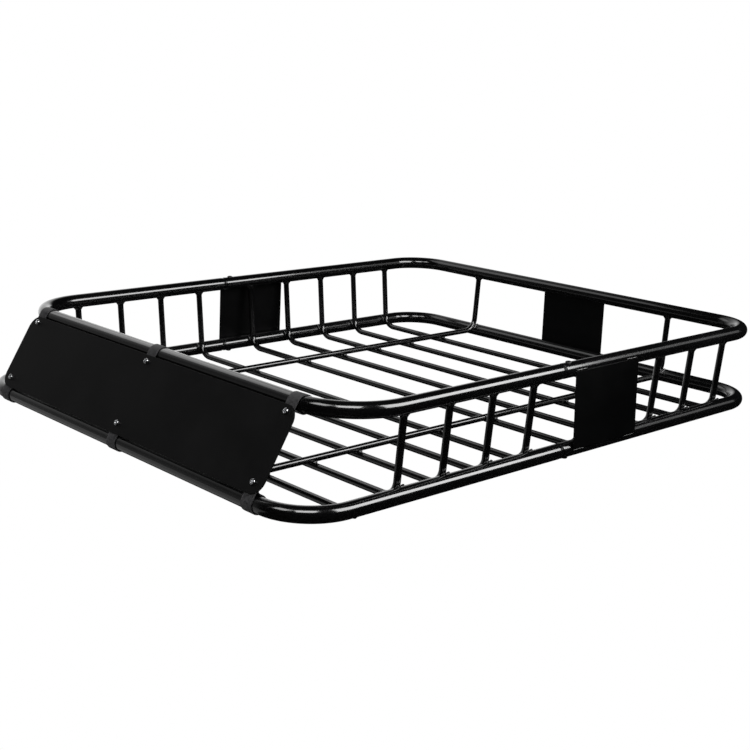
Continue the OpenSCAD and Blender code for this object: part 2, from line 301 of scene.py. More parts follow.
def ramp(tree, source, low_in, high_in, low_out, high_out):
    """Maps a texture's value to a range of values or colours."""
    node = tree.nodes.new("ShaderNodeMapRange")
    tree.links.new(source, node.inputs["Value"])
    node.inputs["From Min"].default_value = low_in
    node.inputs["From Max"].default_value = high_in
    node.inputs["To Min"].default_value = low_out
    node.inputs["To Max"].default_value = high_out
    return node.outputs["Result"]


def blend_colour(tree, factor, dark, light):
    node = tree.nodes.new("ShaderNodeMix")
    node.data_type = "RGBA"
    tree.links.new(factor, node.inputs["Factor"])
    node.inputs["A"].default_value = (*dark, 1)
    node.inputs["B"].default_value = (*light, 1)
    return node.outputs["Result"]


def bump(tree, height, strength, distance, under=None):
    node = tree.nodes.new("ShaderNodeBump")
    node.inputs["Strength"].default_value = strength
    node.inputs["Distance"].default_value = distance
    tree.links.new(height, node.inputs["Height"])
    if under is not None:
        tree.links.new(under, node.inputs["Normal"])
    return node.outputs["Normal"]


def powder_coat(name, dark, light, rough, peel, coat, specular=0.5):
    """Baked black powder coat: orange peel, faint waviness, uneven gloss and a few specks of dust.

    The tones dark and light are greys, and rough is the range of the roughness."""
    material, tree, shader = new_material(name)
    links = tree.links
    cloud = texture(tree, "ShaderNodeTexNoise", Scale=9.0, Detail=4.0, Roughness=0.6)
    peel_noise = texture(tree, "ShaderNodeTexNoise", Scale=420.0, Detail=2.0, Roughness=0.5)
    wave = texture(tree, "ShaderNodeTexNoise", Scale=38.0, Detail=1.0, Roughness=0.4)
    speck = texture(tree, "ShaderNodeTexVoronoi", Scale=310.0, Randomness=1.0)
    share = ramp(tree, cloud.outputs["Fac"], 0.35, 0.7, 0, 1)
    tone = blend_colour(tree, share, dark, light)
    links.new(tone, shader.inputs["Base Color"])
    speck_rough = ramp(tree, speck.outputs["Distance"], 0.02, 0.10, 0.22, 0.0)
    cloud_rough = ramp(tree, cloud.outputs["Fac"], 0.3, 0.75, rough[0], rough[1])
    total = tree.nodes.new("ShaderNodeMath")
    total.operation = "ADD"
    links.new(speck_rough, total.inputs[0])
    links.new(cloud_rough, total.inputs[1])
    links.new(total.outputs["Value"], shader.inputs["Roughness"])
    wavy = bump(tree, wave.outputs["Fac"], 0.12, 0.0002)
    surface = bump(tree, peel_noise.outputs["Fac"], peel, 0.0001, wavy)
    links.new(surface, shader.inputs["Normal"])
    links.new(surface, shader.inputs["Coat Normal"])
    shader.inputs["IOR"].default_value = 1.5
    shader.inputs["Specular IOR Level"].default_value = specular
    shader.inputs["Coat Weight"].default_value = coat
    shader.inputs["Coat Roughness"].default_value = 0.10
    shader.inputs["Coat IOR"].default_value = 1.6
    return material


def zinc(name, light, rough):
    """Bright zinc plate over turned steel."""
    material, tree, shader = new_material(name)
    grain = texture(tree, "ShaderNodeTexNoise", Scale=900.0, Detail=3.0, Roughness=0.6)
    cloud = texture(tree, "ShaderNodeTexNoise", Scale=160.0, Detail=2.0, Roughness=0.5)
    dark = tuple(0.72 * c for c in light)
    tone = blend_colour(tree, ramp(tree, cloud.outputs["Fac"], 0.3, 0.7, 0, 1), dark, light)
    gloss = ramp(tree, grain.outputs["Fac"], 0.3, 0.7, rough[0], rough[1])
    surface = bump(tree, grain.outputs["Fac"], 0.15, 0.00005)
    tree.links.new(tone, shader.inputs["Base Color"])
    tree.links.new(gloss, shader.inputs["Roughness"])
    tree.links.new(surface, shader.inputs["Normal"])
    shader.inputs["Metallic"].default_value = 1.0
    return material


def coated_band(name):
    """Matt black band with a coarse, woven-looking skin that catches the light unevenly."""
    material, tree, shader = new_material(name)
    grain = texture(tree, "ShaderNodeTexVoronoi", Scale=900.0, Randomness=0.5)
    cloud = texture(tree, "ShaderNodeTexNoise", Scale=260.0, Detail=4.0, Roughness=0.7)
    share = ramp(tree, cloud.outputs["Fac"], 0.36, 0.64, 0, 1)
    tone = blend_colour(tree, share, (0.006, 0.006, 0.007), (0.036, 0.035, 0.037))
    rough = ramp(tree, cloud.outputs["Fac"], 0.3, 0.7, 0.46, 0.66)
    rough_skin = bump(tree, cloud.outputs["Fac"], 0.5, 0.0004)
    surface = bump(tree, grain.outputs["Distance"], 0.4, 0.0002, rough_skin)
    tree.links.new(tone, shader.inputs["Base Color"])
    tree.links.new(rough, shader.inputs["Roughness"])
    tree.links.new(surface, shader.inputs["Normal"])
    return material


GLOSS = powder_coat(
    "gloss_powder_coat", dark=(0.0010, 0.0010, 0.0011), light=(0.0022, 0.0022, 0.0024),
    rough=(0.13, 0.22), peel=0.02, coat=0.8,
)
SHEET = powder_coat(
    "sheet_powder_coat", dark=(0.0006, 0.0006, 0.0007), light=(0.0012, 0.0012, 0.0013),
    rough=(0.32, 0.42), peel=0.03, coat=0.0, specular=0.16,
)
WELD = powder_coat(
    "coated_weld", dark=(0.003, 0.003, 0.003), light=(0.006, 0.006, 0.006),
    rough=(0.16, 0.26), peel=0.12, coat=0.8,
)
SATIN = powder_coat(
    "satin_powder_coat", dark=(0.0016, 0.0016, 0.0017), light=(0.0036, 0.0036, 0.0037),
    rough=(0.40, 0.50), peel=0.12, coat=0.0, specular=0.12,
)
BLACK_BOLT = powder_coat(
    "black_bolt", dark=(0.003, 0.003, 0.003), light=(0.008, 0.008, 0.008),
    rough=(0.24, 0.36), peel=0.10, coat=0.2,
)
BAND = coated_band("clip_band")
ZINC = zinc("bright_zinc", (0.80, 0.81, 0.83), (0.18, 0.34))
STEEL = zinc("plain_steel", (0.42, 0.41, 0.40), (0.34, 0.55))


# ---- Rails ----

RAIL_SIDES = 48


def widen(stations, radius, start_profile, end_profile):
    """Stations and radii of a tube whose ends follow profiles of (distance past the end, radius)."""
    first, first_way = stations[0]
    last, last_way = stations[-1]
    head = [((first - first_way * d, first_way), r) for d, r in reversed(start_profile)]
    tail = [((last + last_way * d, last_way), r) for d, r in end_profile]
    body = [(station, radius) for station in stations[1:-1]]
    return zip(*(head + body + tail))


def rail(name, corners, corner_r, profile):
    """Half of a ring: a tube with two bends, whose two ends follow the same profile."""
    stations = bent_path(corners, [corner_r, corner_r], math.radians(3))
    stations, radii = widen(stations, TUBE_R, profile, profile)
    bm = bmesh.new()
    skin(bm, section_rings(stations, Z, circle(RAIL_SIDES), radii))
    finish_piece(name + "_tube", bm, GLOSS, [name])


SHOULDER = [
    (-0.0006, TUBE_R),
    (-0.0001, TUBE_R - 0.0002),
    (0.0003, TUBE_R - 0.0007),
    (JOINT_CONE, SPIGOT_R),
    (JOINT_CONE + SPIGOT_L, SPIGOT_R),
    (JOINT_CONE + SPIGOT_L, SPIGOT_R - TUBE_WALL),
    (JOINT_CONE, SPIGOT_R - TUBE_WALL),
]
SOCKET = [
    (-0.0005, TUBE_R),
    (-0.0001, TUBE_R - 0.0001),
    (0, TUBE_R - 0.0004),
    (0, TUBE_R - TUBE_WALL + 0.00005),
    (-SPIGOT_L - JOINT_CONE, TUBE_R - TUBE_WALL + 0.00005),
]


def front_half(name, x, y, z, corner_r):
    corners = [Vector((-x, JOINT_Y, z)), Vector((-x, y, z)), Vector((x, y, z)), Vector((x, JOINT_Y, z))]
    rail(name, corners, corner_r, SHOULDER)


def rear_half(name, x, z):
    y = REAR_START_Y
    corners = [Vector((x, y, z)), Vector((x, REAR_Y, z)), Vector((-x, REAR_Y, z)), Vector((-x, y, z))]
    rail(name, corners, REAR_R, SOCKET)


front_half("front_upper_rail", UPPER_X, UP_FRONT_Y, UPPER_Z, UPPER_FRONT_R)
front_half("front_lower_rail", LOWER_X, LOW_FRONT_Y, LOWER_Z, LOWER_FRONT_R)
rear_half("rear_upper_rail", UPPER_X, UPPER_Z)
rear_half("rear_lower_rail", LOWER_X, LOWER_Z)


# ---- Floor rods ----

ROD_SIDES = 28
END_CHAMFER = 0.0003


def side_tube(side, x, z):
    """A ring's straight side, as (axis point, axis direction, radius)."""
    return (Vector((side * x, 0, z)), Y, TUBE_R)


def end_tube(y, z):
    """A ring's straight front or rear, as (axis point, axis direction, radius)."""
    return (Vector((0, y, z)), X, TUBE_R)


def trimmed(stations, tube, at_start):
    """The stations with the end that points into a tube brought back to just clear of it."""
    way = stations[0][1] if at_start else stations[-1][1]
    sense = -1 if at_start else 1
    origin = stations[1][0] if at_start else stations[-2][0]
    gap = reach(origin, way * sense, tube) - ROD_R
    place = (origin + way * (sense * gap), way)
    return [place] + stations[1:] if at_start else stations[:-1] + [place]


def saddle(ring, way, tube):
    """The ring carried along way onto the tube, which gives the cope of a welded rod."""
    return [p + way * reach(p, way, tube) for p in ring]


def rod_rings(stations, normal, start_tube=None, end_tube=None):
    """Rings of a rod, whose ends are coped to the tubes that they meet."""
    if start_tube:
        stations = trimmed(stations, start_tube, True)
    if end_tube:
        stations = trimmed(stations, end_tube, False)
    rings = section_rings(stations, normal, circle(ROD_SIDES), [ROD_R] * len(stations))
    if start_tube:
        rings.insert(0, saddle(rings[0], -stations[0][1], start_tube))
    if end_tube:
        rings.append(saddle(rings[-1], stations[-1][1], end_tube))
    return rings


def bend_centre(tube_out, tube_z, floor_z, radius):
    """Centre, as (outwards, height), of the bend that touches the lower tube from inside."""
    touch = radius + ROD_R + TUBE_R + FIT
    drop = floor_z + radius - tube_z
    return tube_out - math.sqrt(touch * touch - drop * drop), floor_z + radius


def bow_corner(upper_out, centre, floor_z, radius):
    """Where the floor line meets the line from the upper tube that is tangent to the bend."""
    away_out, away_z = upper_out - centre[0], UPPER_Z - centre[1]
    tilt = math.atan2(away_out, away_z) - math.asin(radius / math.hypot(away_out, away_z))
    return upper_out - (UPPER_Z - floor_z) * math.tan(tilt)


BOW_CENTRE = bend_centre(LOWER_X, LOWER_Z, BOW_Z, BOW_R)
BOW_CORNER = bow_corner(UPPER_X, BOW_CENTRE, BOW_Z, BOW_R)


def floor_bow(number, y):
    """Bow across the floor and up both sides to the upper ring."""
    corners = [
        Vector((-UPPER_X, y, UPPER_Z)),
        Vector((-BOW_CORNER, y, BOW_Z)),
        Vector((BOW_CORNER, y, BOW_Z)),
        Vector((UPPER_X, y, UPPER_Z)),
    ]
    left, right = side_tube(-1, UPPER_X, UPPER_Z), side_tube(1, UPPER_X, UPPER_Z)
    rings = rod_rings(bent_path(corners, [BOW_R, BOW_R]), Y, left, right)
    bm = bmesh.new()
    skin(bm, rings)
    finish_piece(f"bow_{number}_rod", bm, GLOSS, [f"floor_bow_{number}"])


for index, bow_y in enumerate(BOW_YS):
    floor_bow(index + 1, bow_y)


def front_cross_bar():
    """Straight rod between the sides of the lower ring."""
    inner = LOWER_X - 2 * TUBE_R
    stations = [(Vector((-inner, BAR_Y, BOW_Z)), X), (Vector((inner, BAR_Y, BOW_Z)), X)]
    rings = section_rings(stations, Y, circle(ROD_SIDES), [ROD_R] * 2)
    rings.insert(0, saddle(rings[0], -X, side_tube(-1, LOWER_X, LOWER_Z)))
    rings.append(saddle(rings[-1], X, side_tube(1, LOWER_X, LOWER_Z)))
    bm = bmesh.new()
    skin(bm, rings)
    finish_piece("cross_bar_rod", bm, GLOSS, ["front_cross_bar"])


front_cross_bar()

RUNNER_JOINT_Y = RUNNER_REAR_Y - RUNNER_SHOW
NOSE_CENTRE = bend_centre(-LOW_FRONT_Y, LOWER_Z, RUNNER_Z, NOSE_R)
NOSE_CORNER = bow_corner(-UP_FRONT_Y, NOSE_CENTRE, RUNNER_Z, NOSE_R)
TAIL_CENTRE = bend_centre(REAR_Y, LOWER_Z, RUNNER_Z, BOW_R)
TAIL_CORNER = bow_corner(REAR_Y, TAIL_CENTRE, RUNNER_Z, BOW_R)


def runner_front(side, x):
    """Front half of a runner: up the nose in front, with a spigot at the rear."""
    corners = [
        Vector((x, UP_FRONT_Y, UPPER_Z)),
        Vector((x, -NOSE_CORNER, RUNNER_Z)),
        Vector((x, RUNNER_JOINT_Y, RUNNER_Z)),
    ]
    stations = trimmed(bent_path(corners, [NOSE_R]), end_tube(UP_FRONT_Y, UPPER_Z), True)
    spigot_r = ROD_R - ROD_WALL - FIT
    profile = [
        (-END_CHAMFER, ROD_R),
        (0, ROD_R - END_CHAMFER),
        (RUNNER_CONE, spigot_r),
        (RUNNER_SPIGOT_L, spigot_r),
        (RUNNER_SPIGOT_L, spigot_r - ROD_WALL),
        (RUNNER_CONE, spigot_r - ROD_WALL),
    ]
    last, way = stations[-1]
    tail = [(last + way * d, way) for d, r in profile]
    radii = [ROD_R] * (len(stations) - 1) + [r for d, r in profile]
    rings = section_rings(stations[:-1] + tail, X, circle(ROD_SIDES), radii)
    rings.insert(0, saddle(rings[0], -stations[0][1], end_tube(UP_FRONT_Y, UPPER_Z)))
    bm = bmesh.new()
    skin(bm, rings)
    finish_piece(f"runner_front_{side}_rod", bm, GLOSS, [f"runner_front_{side}"])


def runner_rear(side, x):
    """Rear half of a runner: a socket in front, and up to the upper ring at the rear."""
    corners = [
        Vector((x, RUNNER_REAR_Y, RUNNER_Z)),
        Vector((x, TAIL_CORNER, RUNNER_Z)),
        Vector((x, REAR_Y, UPPER_Z)),
    ]
    stations = trimmed(bent_path(corners, [BOW_R]), end_tube(REAR_Y, UPPER_Z), False)
    first, way = stations[0]
    profile = [
        (RUNNER_SPIGOT_L, ROD_R - ROD_WALL),
        (0, ROD_R - ROD_WALL),
        (0, ROD_R - END_CHAMFER),
        (END_CHAMFER, ROD_R),
    ]
    head = [(first + way * d, way) for d, r in profile]
    radii = [r for d, r in profile] + [ROD_R] * (len(stations) - 1)
    rings = section_rings(head + stations[1:], X, circle(ROD_SIDES), radii)
    rings.append(saddle(rings[-1], stations[-1][1], end_tube(REAR_Y, UPPER_Z)))
    bm = bmesh.new()
    skin(bm, rings)
    finish_piece(f"runner_rear_{side}_rod", bm, GLOSS, [f"runner_rear_{side}"])


for side_name, runner_x in (("left", -RUNNER_X), ("right", RUNNER_X)):
    runner_front(side_name, runner_x)
    runner_rear(side_name, runner_x)


# ---- Welds ----

def ripple(position, pitch):
    """Height from 0 to 1 of the overlapping scales along a weld."""
    phase = position / pitch
    return 1 - abs(2 * (phase - math.floor(phase)) - 1) ** 1.6


# How deep a weld's edges lie in the metal
WELD_SINK = 0.0003
# Half the width of the beads
ROD_BEAD_R = 0.0026
NOSE_BEAD_R = 0.0025
BAR_BEAD_R = 0.0024
# How far before the tube's axis the search for a fillet's tube surface starts
FILLET_START = 3 * TUBE_R


def fillet(bm, point, way, tube, leg=0.0048, run=0.0062, thin=0.55):
    """Weld all round a rod that ends on a tube, wider along the tube than across it."""
    u = (tube[1] - way * tube[1].dot(way)).normalized()
    v = way.cross(u)
    steps, levels = 56, 8
    rings = []
    for level in range(levels + 1):
        t = level / levels
        ring = []
        for k in range(steps):
            angle = 2 * math.pi * k / steps
            out = polar(angle, u, v)
            start = point + out * ROD_R
            meet = start + way * reach(start, way, tube)
            share = thin + (1 - thin) * abs(math.cos(angle))
            lump = 1 + 0.16 * noise.noise(meet * 210)
            top = meet - way * (run * share * lump) - out * WELD_SINK
            base = on_tube(meet + out * (leg * share * lump), tube, -WELD_SINK)
            knee = (top + base) * 0.5 * 0.45 + meet * 0.55
            p = top * (1 - t) ** 2 + knee * (2 * t * (1 - t)) + base * t ** 2
            swell = ripple(angle * ROD_R * 1.3 + t * 0.0012, 0.0023) * math.sin(math.pi * t)
            ring.append(p + (out - way).normalized() * (0.00042 * swell))
        rings.append(ring)
    skin(bm, rings, caps=(False, False))


def bead(bm, points, up, radius, sides=12, flat=0.75, pitch=0.0024, seed=0.0):
    """Lumpy run of weld along points, rounded off at both ends and flattened along up."""
    total = sum((b - a).length for a, b in zip(points, points[1:]))
    rings = []
    count = max(8, round(total / 0.0006))
    for k in range(count + 1):
        t = k / count
        place = t * (len(points) - 1)
        i = min(int(place), len(points) - 2)
        point = points[i].lerp(points[i + 1], place - i)
        way = (points[i + 1] - points[i]).normalized()
        side = way.cross(up).normalized()
        lift = side.cross(way).normalized()
        edge = min(t, 1 - t) * total
        end = math.sqrt(max(0.0, 1 - max(0.0, 1 - edge / (radius * 1.1)) ** 2))
        lumps = 0.88 + 0.12 * ripple(t * total, pitch) + 0.12 * noise.noise(point * 190 + Z * seed)
        size = radius * max(end, 0.04) * lumps
        ring = []
        for m in range(sides):
            a = 2 * math.pi * m / sides
            ring.append(point + side * (size * math.cos(a)) + lift * (size * flat * math.sin(a)))
        rings.append(ring)
    skin(bm, rings)


def foot_welds(bm, tube, centre, along, radius, seed):
    """The two beads where a bend touches the lower tube, one on each side of the rod.

    The rod stands at the distance along the tube's axis."""
    axis = tube[1]
    inward = (centre - tube[0] - axis * (centre - tube[0]).dot(axis)).normalized()
    upward = Z if abs(inward.z) < 0.9 else X
    climb = (upward - inward * upward.dot(inward)).normalized()
    for side in (-1, 1):
        points = []
        for k in range(9):
            a = math.radians(-26 + 72 * k / 8)
            out = inward * math.cos(a) + climb * math.sin(a)
            points.append(tube[0] + axis * (along + side * (ROD_R - 0.0012)) + out * (TUBE_R + 0.0010))
        bead(bm, points, inward, radius, seed=seed + side)


def crossing_welds(bm, x, y, seed):
    """Two beads, one on each side of a runner, where it lies on a bow."""
    for sx in (-1, 1):
        points = [Vector((x + sx * 0.0040, y + 0.0046 * t, BOW_Z + ROD_R + 0.0004)) for t in (-1, 0, 1)]
        bead(bm, points, Z, ROD_BEAD_R, seed=seed + sx, flat=0.9)


def end_fillet(bm, corner, end, tube):
    """Weld round the end of a rod that runs straight from a corner to a tube's axis."""
    way = (end - corner).normalized()
    fillet(bm, end - way * FILLET_START, way, tube)


def rod_welds():
    """All the welds of the bows, the runners and the straight cross bar."""
    top = bmesh.new()
    foot = bmesh.new()
    for y in BOW_YS:
        for side in (-1, 1):
            corner, end = Vector((side * BOW_CORNER, y, BOW_Z)), Vector((side * UPPER_X, y, UPPER_Z))
            end_fillet(top, corner, end, side_tube(side, UPPER_X, UPPER_Z))
            centre = Vector((side * BOW_CENTRE[0], y, BOW_CENTRE[1]))
            foot_welds(foot, side_tube(side, LOWER_X, LOWER_Z), centre, y, ROD_BEAD_R, y * 40 + side)
    for side in (-1, 1):
        x = side * RUNNER_X
        corner, end = Vector((x, -NOSE_CORNER, RUNNER_Z)), Vector((x, UP_FRONT_Y, UPPER_Z))
        end_fillet(top, corner, end, end_tube(UP_FRONT_Y, UPPER_Z))
        corner, end = Vector((x, TAIL_CORNER, RUNNER_Z)), Vector((x, REAR_Y, UPPER_Z))
        end_fillet(top, corner, end, end_tube(REAR_Y, UPPER_Z))
        centre = Vector((x, -NOSE_CENTRE[0], NOSE_CENTRE[1]))
        foot_welds(foot, end_tube(LOW_FRONT_Y, LOWER_Z), centre, x, NOSE_BEAD_R, x)
        foot_welds(foot, end_tube(REAR_Y, LOWER_Z), Vector((x, *TAIL_CENTRE)), x, ROD_BEAD_R, x + 1)
    finish_piece("upper_rod_welds", top, WELD, sharp=WELD_SHARP)
    finish_piece("lower_rod_welds", foot, WELD, sharp=WELD_SHARP)
    tacks = bmesh.new()
    for x in (-RUNNER_X, RUNNER_X):
        for y in BOW_YS + [BAR_Y]:
            crossing_welds(tacks, x, y, y * 50 + x)
    finish_piece("runner_tacks", tacks, WELD, sharp=WELD_SHARP)
    bar = bmesh.new()
    for side in (-1, 1):
        for edge in (-1, 1):
            x = side * (LOWER_X - 0.0105)
            y = BAR_Y + edge * (ROD_R - 0.0006)
            low_end = Vector((x + side * 0.0018, y, BOW_Z - 0.001))
            high_end = Vector((x - side * 0.001, y, BOW_Z + 0.0045))
            bead(bar, [low_end, high_end], Y, BAR_BEAD_R, seed=y * 30 + side)
        x, z = side * (LOWER_X - 0.0132), BOW_Z + ROD_R - 0.0006
        points = [Vector((x, BAR_Y + t * 0.0052, z)) for t in (-1, 0, 1)]
        bead(bar, points, Z, BAR_BEAD_R, seed=side)
    finish_piece("cross_bar_welds", bar, WELD, sharp=WELD_SHARP)


rod_welds()


# ---- Panels ----

PANEL_W = high("side_panel_right", 1) - low("side_panel_right", 1)
PANEL_CORNER_R = 0.0015
PANEL_EDGE_R = 0.0003
PANEL_BEAD_L = 0.029
PANEL_BEAD_R = 0.0019
PANEL_BEAD_INSET = 0.002
PANEL_BEAD_OUT = 0.0002
LEAN = math.atan2(LOWER_X - UPPER_X, RISE)
CORNER_STEPS = 6
EDGE_STEPS = 3


def panel_sheet(height, matrix):
    """Panel with small rounded corners and softened edges, on the matrix's XY plane, +Z outwards."""
    levels = []
    for k in range(EDGE_STEPS + 1):
        a = math.pi / 2 * k / EDGE_STEPS
        levels.append((PANEL_EDGE_R * (1 - math.sin(a)), PANEL_EDGE_R * (1 - math.cos(a))))
    rings = []
    for inset, z in levels + [(inset, PANEL_T - z) for inset, z in reversed(levels)]:
        outline = rounded_outline(
            PANEL_W - 2 * inset, height - 2 * inset, PANEL_CORNER_R - inset, CORNER_STEPS
        )
        rings.append([matrix @ Vector((x, y, z)) for x, y in outline])
    bm = bmesh.new()
    skin(bm, rings)
    return bm


def panel_welds(bm, origin, along, up, out, top, bottom, seed):
    """Four beads, one at each corner of a panel, on its top and bottom edges."""
    half = PANEL_W / 2
    for height in (top, bottom):
        for side in (-1, 1):
            outer = side * (half - PANEL_BEAD_INSET)
            inner = side * (half - PANEL_BEAD_INSET - PANEL_BEAD_L)
            points = [origin + up * height + along * (outer + (inner - outer) * k / 6) for k in range(7)]
            bead(bm, points, out, PANEL_BEAD_R, flat=0.8, seed=seed + side + height * 90)


def side_panel(name, side):
    """Side panel, which leans out with the sides, and the beads on its corners."""
    y = middle(name, 1)
    length = RISE / math.cos(LEAN)
    up = Vector((-side * math.sin(LEAN), 0, math.cos(LEAN)))
    out = Vector((side * math.cos(LEAN), 0, math.sin(LEAN)))
    along = up.cross(out) * -1
    top_axis = Vector((side * UPPER_X, y, UPPER_Z))
    origin = top_axis + out * (TUBE_R + FIT) - up * (length / 2)
    matrix = Matrix((
        (along.x, up.x, out.x, origin.x),
        (along.y, up.y, out.y, origin.y),
        (along.z, up.z, out.z, origin.z),
        (0, 0, 0, 1),
    ))
    sheet = panel_sheet(length - 2 * PANEL_GAP, matrix)
    finish_piece(name + "_sheet", sheet, SHEET, [name], sharp=FLAT)
    welds = bmesh.new()
    start = top_axis + out * (TUBE_R - WELD_SINK)
    panel_welds(welds, start, along, up, out, PANEL_BEAD_OUT, -length - PANEL_BEAD_OUT, y * 60)
    finish_piece(name + "_welds", welds, WELD, sharp=WELD_SHARP)


def rear_panel():
    """Rear panel, which stands upright, and the beads on its corners."""
    x = middle("rear_panel", 0)
    origin = Vector((x, REAR_Y + TUBE_R + FIT, (UPPER_Z + LOWER_Z) / 2))
    matrix = Matrix(((-1, 0, 0, origin.x), (0, 0, 1, origin.y), (0, 1, 0, origin.z), (0, 0, 0, 1)))
    sheet = panel_sheet(RISE - 2 * PANEL_GAP, matrix)
    finish_piece("rear_panel_sheet", sheet, SHEET, ["rear_panel"], sharp=FLAT)
    welds = bmesh.new()
    start = Vector((x, REAR_Y + TUBE_R - WELD_SINK, UPPER_Z))
    panel_welds(welds, start, X, Z, Y, PANEL_BEAD_OUT, -RISE - PANEL_BEAD_OUT, 7.0)
    finish_piece("rear_panel_welds", welds, WELD, sharp=WELD_SHARP)


side_panel("side_panel_left", -1)
side_panel("side_panel_right", 1)
rear_panel()


# ---- Fairing ----

def screw_places():
    """The six screws' places on the slope, as (x, y) in its frame."""
    return [(x, y) for y in (-UPPER_SCREW_GAP, LOWER_SCREW_GAP - SLOPE_L) for x in CLIP_XS]


def wind_fairing():
    """The plate as a filled outline with its six holes, softened along every edge."""
    edge = 0.0005
    outline = bpy.data.curves.new("fairing_outline", "CURVE")
    outline.dimensions = "2D"
    outline.fill_mode = "BOTH"
    outline.extrude = FAIRING_T / 2 - edge
    outline.bevel_depth = edge
    outline.bevel_resolution = 2
    outline.offset = -edge

    def loop(points):
        spline = outline.splines.new("POLY")
        spline.points.add(len(points) - 1)
        for target, (x, y) in zip(spline.points, points):
            target.co = (x, y, 0, 1)
        spline.use_cyclic_u = True

    middle_y = -FAIRING_TOP - FAIRING_H / 2
    plate = rounded_outline(FAIRING_W, FAIRING_H, FAIRING_R, 16)
    loop([(x, middle_y + y) for x, y in plate])
    for x, y in screw_places():
        loop([(x + SCREW_HOLE_R * a, y - SCREW_HOLE_R * b) for a, b in circle(20)])
    source = bpy.data.objects.new("fairing_outline", outline)
    bpy.context.scene.collection.objects.link(source)
    bpy.context.view_layer.update()
    mesh = source.evaluated_get(bpy.context.evaluated_depsgraph_get()).to_mesh()
    bm = bmesh.new()
    bm.from_mesh(mesh)
    bpy.data.objects.remove(source)
    bpy.data.curves.remove(outline)
    bmesh.ops.remove_doubles(bm, verts=bm.verts, dist=0.000002)
    matrix = SLOPE_FRAME @ Matrix.Translation((0, 0, PLATE_Z + FAIRING_T / 2))
    finish_piece(
        "fairing_plate", bm, SATIN, ["wind_fairing"], sharp=FLAT, matrix=matrix
    )


wind_fairing()


def bend_shift(x, ring_x, corner_r):
    """How far a ring's corner bend has carried the tube's axis back at a given x."""
    past = max(0, abs(x) - (ring_x - corner_r))
    return corner_r - math.sqrt(corner_r * corner_r - past * past)


def clip(name, x, tube_y, hole, way, ring_x, corner_r):
    """A band round the tube, which follows its bend.

    A screw through the plate holds its two flat tails together."""
    centre_r = CLIP_IN + CLIP_T / 2
    tail = hole + CLIP_TAIL
    bend_r = min(CLIP_BEND_MAX, hole - NUT_FLATS / 2 - CLIP_OUT)
    out, up = Y * way, Z
    centre = Vector((x, tube_y, 0))
    back_z = CLIP_IN - CLIP_SEAM - CLIP_T / 2
    bend = centre + out * (CLIP_OUT + bend_r) + up * (back_z - CLIP_T / 2 - bend_r)
    stations = [(centre + out * tail + up * centre_r, -out)]
    stations.append((centre + out * (CLIP_OUT + 0.003) + up * centre_r, -out))
    stations += arc(centre, centre_r, out, up, math.pi / 2, 2 * math.pi, math.radians(6))
    stations += arc(bend, bend_r + CLIP_T / 2, out, up, math.pi, math.pi / 2, math.radians(15))
    stations.append((centre + out * tail + up * back_z, out))
    back = Vector((0, math.sin(SLOPE), -math.cos(SLOPE)))

    def follow(point):
        share = max(0, min(1, (point - centre).dot(back) / CLIP_IN))
        return point + back * (share * bend_shift(point.x, ring_x, corner_r))

    rings = section_rings(stations, X, rounded_outline(CLIP_W, CLIP_T, CLIP_EDGE_R))
    bm = bmesh.new()
    skin(bm, [[follow(point) for point in ring] for ring in rings])
    finish_piece(name + "_band", bm, BAND, [name], matrix=SLOPE_FRAME)


for side_name, clip_x in zip(("left", "centre", "right"), CLIP_XS):
    clip(f"clip_upper_{side_name}", clip_x, 0, UPPER_SCREW_GAP, -1, UPPER_X, UPPER_FRONT_R)
    clip(f"clip_lower_{side_name}", clip_x, -SLOPE_L, LOWER_SCREW_GAP, 1, LOWER_X, LOWER_FRONT_R)


# ---- Fasteners ----

def smooth_step(edge0, edge1, value):
    t = min(1, max(0, (value - edge0) / (edge1 - edge0)))
    return t * t * (3 - 2 * t)


def turned(bm, profile, sides, matrix, height=None):
    """Rings of (radius, z) round +Z; height(x, y, r, z) may press a recess into them."""
    rings = []
    for r, z in profile:
        ring = []
        for a, b in circle(sides):
            x, y = r * a, r * b
            ring.append(matrix @ Vector((x, y, height(x, y, r, z) if height else z)))
        rings.append(ring)
    skin(bm, rings)


def cross_recess(x, y, r, z):
    """Depth of a cross slot with tapered walls, for points on the top of the head only."""
    arm = min(max(abs(x) / 0.00062, abs(y) / 0.0030), max(abs(y) / 0.00062, abs(x) / 0.0030))
    inside = 1 - smooth_step(0.8, 1.25, arm)
    return z - 0.0016 * inside * (1 - 0.35 * r / 0.0030) if z > 0.0015 else z


def thread(start, stop, radius, pitch, depth=0.0003):
    """Profile points of a plain ridged thread from one height down to another."""
    count = max(2, round(abs(stop - start) / (pitch / 2)))
    points = []
    for k in range(count + 1):
        z = start + (stop - start) * k / count
        points.append((radius - (depth if k % 2 else 0), z))
    return points


NUT_H = 0.004
NUT_TOP = CLIP_IN - CLIP_SEAM - CLIP_T - FIT
SCREW_R = 0.0025
SCREW_TIP = 0.0012
TINY_R = 0.000001
TURNED_SIDES = 72


